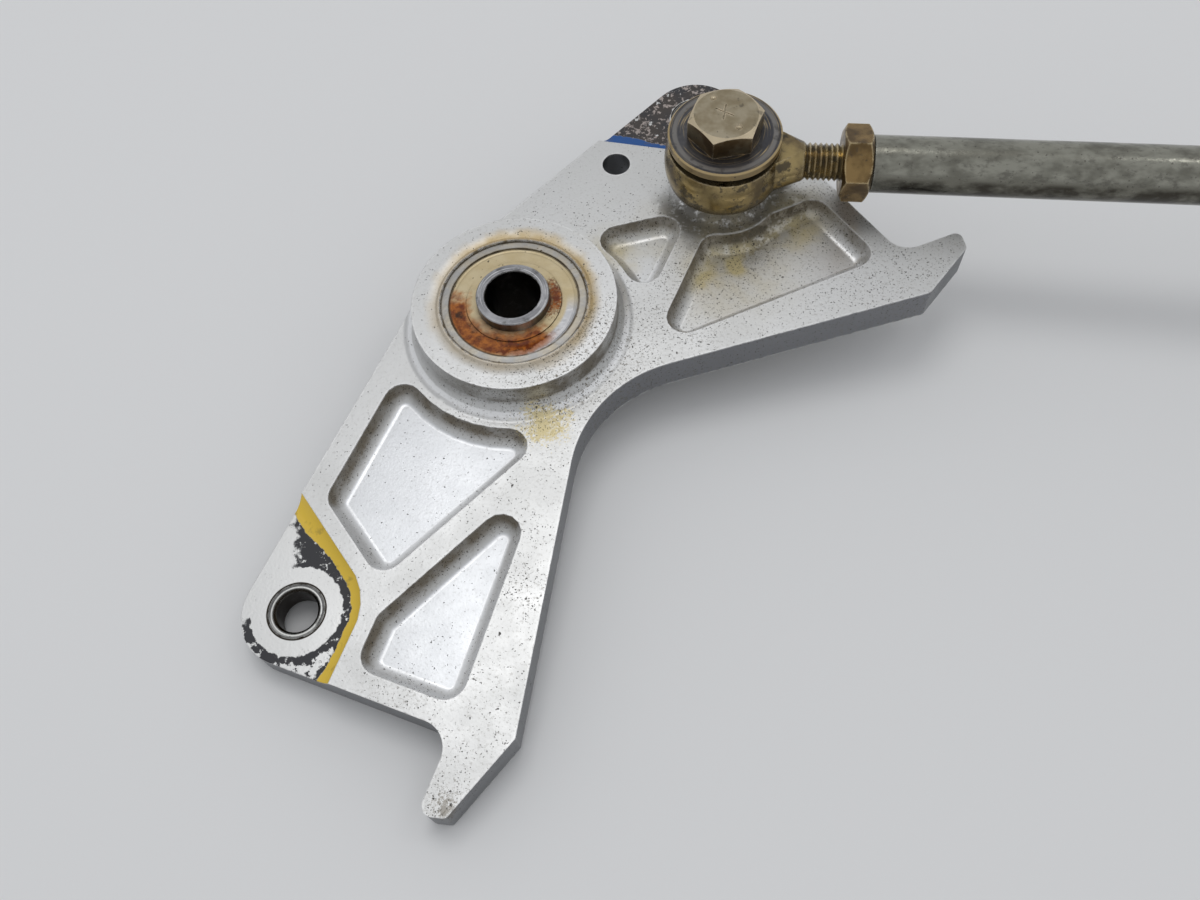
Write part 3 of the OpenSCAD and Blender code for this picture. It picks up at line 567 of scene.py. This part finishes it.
# the sleeve's side colour and dark ring paint shade on its upright faces and at the bore
sleeveLook = {"base": (0.32, 0.32, 0.33, 1), "second": (0.20, 0.20, 0.21, 1), "bright": (0.64, 0.64, 0.64, 1),
              "grimeAndShade": blackGrimeAndShade, "rough": 0.30, "turned": sleeveAxis, "bands": ((4.45, 0.32, blackGrimeAndShade),),
              "side": (0.085, 0.062, 0.04, 1), "cornerDark": 0.8}
# the bushes' side colour and innermost dark ring paint shade in the bore, the bright ring a highlight
bushLook = {"base": (0.13, 0.13, 0.13, 1), "second": (0.08, 0.08, 0.08, 1), "side": (0.03, 0.03, 0.03, 1),
            "bright": (0.32, 0.32, 0.31, 1), "grimeAndShade": blackGrimeAndShade, "rough": 0.28, "cornerDark": 0.7,
            "bands": ((4.33, 0.25, blackGrimeAndShade), (3.78, 0.15, (0.60, 0.60, 0.58, 1)), (3.30, 0.42, blackGrimeAndShade))}
steelLook = {"base": (0.55, 0.55, 0.54, 1), "second": (0.44, 0.44, 0.43, 1), "bright": (0.75, 0.75, 0.74, 1),
             "grimeAndShade": (0.20, 0.14, 0.07, 1), "rough": 0.30}
insertLook = {"base": (0.75, 0.70, 0.55, 1), "second": (0.62, 0.57, 0.44, 1), "bright": (0.8, 0.76, 0.62, 1),
              "grimeAndShade": blackGrimeAndShade, "rough": 0.5, "metal": 0.75}

bronze = metalFinish("bronzePlating", boltLook)
wear(["lock_nut"], bronze)
wear(["near_rod_end_body", "far_rod_end_body"], metalFinish("goldPlating", goldLook))
wear(["near_jam_nut", "far_jam_nut"], metalFinish("copperPlating", jamLook))
wear(["head_washer", "nut_washer"], metalFinish("washerSteel", washerLook))
wear(["push_rod_tube"], metalFinish("tubeSteel", tubeLook))
wear(["pivot_sleeve"], metalFinish("sleeveSteel", sleeveLook))
for bushName, lug in (("lower_lug_bush", lowerLug), ("upper_lug_bush", upperLug)):
    wear([bushName], metalFinish(bushName + "Steel", dict(bushLook, turned=lug)))
wear(["near_rod_end_ball", "far_rod_end_ball", "near_rod_end_race", "far_rod_end_race",
      "upper_bearing_balls", "lower_bearing_balls", "upper_bearing_cage", "lower_bearing_cage"],
     metalFinish("bearingSteel", steelLook))
wear(["lock_nut_insert"], metalFinish("nutInsert", insertLook))
print("metals finished")

# the bolt again, with a scratched cross and two punch dots in its head; places in mm from its axis
boltMarks = {"crossTurns": (85, -25), "crossLength": 3.3, "crossWidth": 0.22, "crossShift": (-0.28, 0.37),
             "crossDepth": 0.10, "dots": ((-2.26, 3.44), (2.17, -2.85)), "dotRadius": 0.70, "dotDepth": 0.28,
             "smoothAngle": 20}


def markedBolt(marks):
    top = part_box("rod_bolt")[1].z
    cutters = bmesh.new()
    centre = Vector((boltAxis.x + marks["crossShift"][0] * mm, boltAxis.y + marks["crossShift"][1] * mm, top))
    for turn in marks["crossTurns"]:
        size = Matrix.Diagonal((marks["crossLength"] * mm, marks["crossWidth"] * mm,
                                2 * marks["crossDepth"] * mm, 1))
        turned = Matrix.Rotation(math.radians(turn), 4, "Z")
        bmesh.ops.create_cube(cutters, size=1, matrix=Matrix.Translation(centre) @ turned @ size)
    for x, y in marks["dots"]:
        lift = (marks["dotRadius"] - marks["dotDepth"]) * mm
        spot = Matrix.Translation((boltAxis.x + x * mm, boltAxis.y + y * mm, top + lift))
        bmesh.ops.create_uvsphere(cutters, u_segments=24, v_segments=16, radius=marks["dotRadius"] * mm,
                                  matrix=spot)
    cutterMesh = bpy.data.meshes.new("boltCutters")
    cutters.to_mesh(cutterMesh)
    cutters.free()
    cutter = bpy.data.objects.new("boltCutters", cutterMesh)
    bpy.context.scene.collection.objects.link(cutter)
    bolt = smoothCopy("rod_bolt", "markedBolt", "crank", marks["smoothAngle"])
    cut = bolt.modifiers.new("marks", "BOOLEAN")
    cut.object = cutter
    cut.operation = "DIFFERENCE"
    cut.solver = "EXACT"
    cut.use_self = True
    shown = bolt.evaluated_get(bpy.context.evaluated_depsgraph_get())
    carved = bpy.data.meshes.new_from_object(shown)
    bolt.modifiers.clear()
    bolt.data = carved
    bpy.data.objects.remove(cutter)
    carved.materials.clear()
    return bolt


markedBolt(boltMarks).data.materials.append(bronze)
print("bolt marked")

# bearing faces: grey outer ring, tan shield, rust below the sleeve; radii in mm
bearingLook = {"grey": (0.36, 0.355, 0.345, 1), "tan": (0.54, 0.43, 0.24, 1), "pale": (0.60, 0.50, 0.31, 1),
               "clean": (0.46, 0.46, 0.47, 1), "rust": (0.16, 0.034, 0.009, 1),
               "orange": (0.47, 0.155, 0.025, 1), "oldRust": (0.030, 0.013, 0.007, 1),
               "grimeAndShade": (0.070, 0.050, 0.026, 1), "seams": ((12.0, 0.30), (10.62, 0.30)), "ringRadius": 10.7,
               "rustSide": 248.0, "cleanSide": -42.0, "rustMiddle": 8.7, "rustLean": 0.10, "rustHalf": 0.95,
               "rustSpot": (6.7 * mm, 1.2 * mm, 12.3 * mm), "rustSpotRadius": 4.2 * mm, "rustRagged": 2.8 * mm,
               "underSide": 262, "crustWidth": 1.1}


def bearingFinish(look):
    material, tree, shader = newFinish("bearingFaces")
    place = objectPlace(tree)
    x = separate(tree, place)[0]
    away, flat = flatDistance(tree, place, sleeveAxis)
    cloud = useGroup(tree, satin, "Cloud", Cloud=320.0)
    ragged = minus(tree, noise(tree, 520, 5.0, place, 0.6), 0.5)
    colour = blend(tree, cloud, look["tan"], look["pale"])
    shine = allOf(tree, smooth(tree, ringAngle(tree, flat, away, look["cleanSide"]), 0.55, 0.85),
                  smooth(tree, away, 8.4 * mm, 9.0 * mm))
    colour = blend(tree, shine, colour, look["clean"])
    outer = smooth(tree, away, look["ringRadius"] * mm - 0.05 * mm, look["ringRadius"] * mm + 0.05 * mm)
    colour = blend(tree, outer, colour, blend(tree, times(tree, cloud, 0.40), look["grey"], look["tan"]))

    # rust lies further out on the left than below the sleeve
    middle = minus(tree, look["rustMiddle"] * mm, times(tree, x, look["rustLean"]))
    off = calc(tree, "ABSOLUTE", plus(tree, minus(tree, away, middle), times(tree, ragged, look["rustRagged"])))
    side = plus(tree, ringAngle(tree, flat, away, look["rustSide"]), times(tree, ragged, 0.7))
    band = allOf(tree, without(tree, smooth(tree, off, look["rustHalf"] * mm, (look["rustHalf"] + 0.5) * mm)),
                 smooth(tree, side, 0.22, 0.50))
    spot = useGroup(tree, patch, "Mask", Centre=look["rustSpot"], Radius=look["rustSpotRadius"], Ragged=1.2)
    spot = allOf(tree, spot, without(tree, smooth(tree, away, 7.7 * mm, 8.1 * mm)))
    under = allOf(tree, smooth(tree, ringAngle(tree, flat, away, look["underSide"]), 0.55, 0.8),
                  without(tree, smooth(tree, away, 8.6 * mm, 9.6 * mm)), plus(tree, 0.55, ragged))
    glow = allOf(tree, without(tree, smooth(tree, off, 1.4 * mm, 2.6 * mm)), smooth(tree, side, 0.15, 0.55),
                 without(tree, outer))
    rust = allOf(tree, anyOf(tree, band, spot, under), without(tree, outer))
    colour = blend(tree, times(tree, glow, 0.75), colour, look["orange"])
    colour = blend(tree, rust, colour, blend(tree, smooth(tree, noise(tree, 800, 3.0, place, 0.6), 0.34, 0.72),
                                             look["rust"], look["orange"]))
    old = allOf(tree, rust, smooth(tree, noise(tree, 480, 3.0, place, 0.6), 0.52, 0.68))
    colour = blend(tree, times(tree, old, 0.85), colour, look["oldRust"])
    for radius, width in look["seams"]:
        colour = blend(tree, allOf(tree, lineAt(tree, away, radius * mm, width * mm),
                                   plus(tree, 0.45, times(tree, cloud, 0.5))), colour, look["grimeAndShade"])
    dots = useGroup(tree, specks, "Specks", Scale=1500.0, Density=0.14, Size=0.24)
    # darker in corners, where other faces close in
    cornerDark = useGroup(tree, cornerDarkening, "Darkening", Reach=0.8 * mm, Amount=0.7)
    colour = blend(tree, anyOf(tree, cornerDark, dots), colour, look["grimeAndShade"])
    tree.links.new(colour, shader.inputs["Base Color"])
    metal = allOf(tree, anyOf(tree, outer, shine), without(tree, cornerDark))
    tree.links.new(plus(tree, 0.25, times(tree, metal, 0.65)), shader.inputs["Metallic"])
    tree.links.new(plus(tree, 0.36, times(tree, anyOf(tree, rust, glow), 0.30)), shader.inputs["Roughness"])
    lumps = times(tree, anyOf(tree, rust, glow), noise(tree, 1500, 4.0, place))
    surface(tree, shader, plus(tree, lumps, times(tree, cloud, 0.12)), 0.9, 0.25 * mm, 0.1 * mm)
    return material


bearingFaces = bearingFinish(bearingLook)
wear(["lower_bearing_shield", "upper_bearing_inner_ring", "lower_bearing_inner_ring",
      "upper_bearing_outer_ring", "lower_bearing_outer_ring"], bearingFaces)

# upper shield with a rolled groove and a rust crust; radii and heights in mm
shieldShape = {"inner": 7.86, "rows": 22, "turns": 288, "groove": 10.1, "grooveDepth": 0.10, "grooveWidth": 0.12,
               "crust": 0.13, "crustScale": 1.5}


def rustyShield(shape):
    low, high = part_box("upper_bearing_shield")
    outer = high.x / mm
    points, faces = [], []
    rows = [shape["inner"] + (outer - shape["inner"]) * k / shape["rows"] for k in range(shape["rows"] + 1)]
    for turn in range(shape["turns"]):
        angle = 2 * math.pi * turn / shape["turns"]
        side = math.cos(angle - math.radians(bearingLook["rustSide"]))
        for k, radius in enumerate(rows):
            x, y = radius * math.cos(angle), radius * math.sin(angle)
            lump = noiseTool.fractal(Vector((x, y, 0.7)) * shape["crustScale"], 0.8, 2.0, 4)
            offMiddle = radius - bearingLook["rustMiddle"] + bearingLook["rustLean"] * x
            rusty = min(1, max(0, (side - 0.2) * 3)) * math.exp(-(offMiddle / bearingLook["crustWidth"]) ** 2)
            offGroove = (radius - shape["groove"]) / shape["grooveWidth"]
            height = high.z / mm - shape["grooveDepth"] * math.exp(-offGroove ** 2)
            height += shape["crust"] * rusty * max(0, 0.5 + lump) if 0 < k < shape["rows"] else 0
            points.append((x * mm, y * mm, height * mm))
    count = shape["rows"] + 1
    top = len(points)
    for turn in range(shape["turns"]):
        angle = 2 * math.pi * turn / shape["turns"]
        for radius in (shape["inner"], outer):
            points.append((radius * math.cos(angle) * mm, radius * math.sin(angle) * mm, low.z))
    for turn in range(shape["turns"]):
        here, after = turn * count, (turn + 1) % shape["turns"] * count
        for k in range(shape["rows"]):
            faces.append((here + k, here + k + 1, after + k + 1, after + k))
        below, belowNext = top + 2 * turn, top + 2 * ((turn + 1) % shape["turns"])
        faces.append((below, here, after, belowNext))
        faces.append((here + count - 1, below + 1, belowNext + 1, after + count - 1))
        faces.append((below + 1, below, belowNext, belowNext + 1))
    mesh = bpy.data.meshes.new("rustyShield")
    mesh.from_pydata(points, [], faces)
    mesh.shade_smooth()
    mesh.set_sharp_from_angle(angle=math.radians(50))
    mesh.materials.append(bearingFaces)
    piece = bpy.data.objects.new("rustyShield", mesh)
    bpy.context.scene.collection.objects.link(piece)
    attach(piece, "crank")
    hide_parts("upper_bearing_shield")


rustyShield(shieldShape)
print("bearing finished")

# stage: a pale floor under the bolt end and the lower arm, two lights and an even sky
stageLook = {"floor": (0.80, 0.80, 0.80, 1), "floorRough": 0.8, "floorGap": 0.4 * mm, "size": 3.0,
             "keyPlace": (-0.05, 0.24, 0.90), "keyAim": (0.02, 0.0, 0.0), "keySize": 0.45, "keyPower": 1.45,
             "fillPlace": (0.50, 0.22, 0.75), "fillAim": (0.05, 0.0, 0.0), "fillSize": 0.18, "fillPower": 0.18,
             "worldColour": (0.95, 0.97, 1.0, 1), "world": 0.60}
boltFoot = Vector((boltAxis.x, boltAxis.y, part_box("rod_bolt")[0].z))
hornFoot = Vector((0.0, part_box("crank_plate")[0].y, 0.0))
lugFoot = Vector((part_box("crank_plate")[0].x + 4 * mm, lowerLug.y - 6 * mm, 0.0))
floorUp = (hornFoot - lugFoot).cross(boltFoot - lugFoot).normalized()
floorUp = floorUp if floorUp.z > 0 else -floorUp
floorSize = stageLook["size"]
floorMesh = bpy.data.meshes.new("floor")
corners = [(-floorSize, -floorSize, 0), (floorSize, -floorSize, 0), (floorSize, floorSize, 0),
           (-floorSize, floorSize, 0)]
floorMesh.from_pydata(corners, [], [(0, 1, 2, 3)])
floor = bpy.data.objects.new("floor", floorMesh)
bpy.context.scene.collection.objects.link(floor)
floor.rotation_mode = "QUATERNION"
floor.rotation_quaternion = Vector((0, 0, 1)).rotation_difference(floorUp)
floor.location = lugFoot - floorUp * stageLook["floorGap"]  # clear of the bolt end's rim
floorMaterial, floorShader = newFinish("paleFloor")[::2]
floorShader.inputs["Base Color"].default_value = stageLook["floor"]
floorShader.inputs["Roughness"].default_value = stageLook["floorRough"]
floorMesh.materials.append(floorMaterial)


def areaLight(name, place, target, size, power):
    data = bpy.data.lights.new(name, "AREA")
    data.shape = "DISK"
    data.size = size
    data.energy = power
    lamp = bpy.data.objects.new(name, data)
    bpy.context.scene.collection.objects.link(lamp)
    lamp.location = place
    lamp.rotation_mode = "QUATERNION"
    lamp.rotation_quaternion = (Vector(target) - Vector(place)).to_track_quat("-Z", "Y")


for part in ("key", "fill"):
    areaLight(part + "Light", *[stageLook[part + value] for value in ("Place", "Aim", "Size", "Power")])
world = bpy.data.worlds.new("studio")
bpy.context.scene.world = world
world.use_nodes = True
world.node_tree.nodes["Background"].inputs["Color"].default_value = stageLook["worldColour"]
world.node_tree.nodes["Background"].inputs["Strength"].default_value = stageLook["world"]
print("stage ready")

# camera at the photograph's place
cameraLook = {"place": (32.13 * mm, -98.89 * mm, 154.75 * mm), "aim": (16.12 * mm, -23.17 * mm, 6.35 * mm),
              "roll": -6.99, "lens": 32.06, "sensor": 36}
cameraData = bpy.data.cameras.new("camera")
cameraData.lens = cameraLook["lens"]
cameraData.sensor_width = cameraLook["sensor"]
cameraData.clip_start = 1 * mm
camera = bpy.data.objects.new("camera", cameraData)
bpy.context.scene.collection.objects.link(camera)
gaze = Vector(cameraLook["aim"]) - Vector(cameraLook["place"])
looking = gaze.to_track_quat("-Z", "Y").to_matrix().to_4x4()
tipped = Matrix.Rotation(math.radians(cameraLook["roll"]), 4, "Z")
camera.matrix_world = Matrix.Translation(cameraLook["place"]) @ looking @ tipped
bpy.context.scene.camera = camera
bpy.context.scene.view_settings.view_transform = "Standard"
print("camera set")
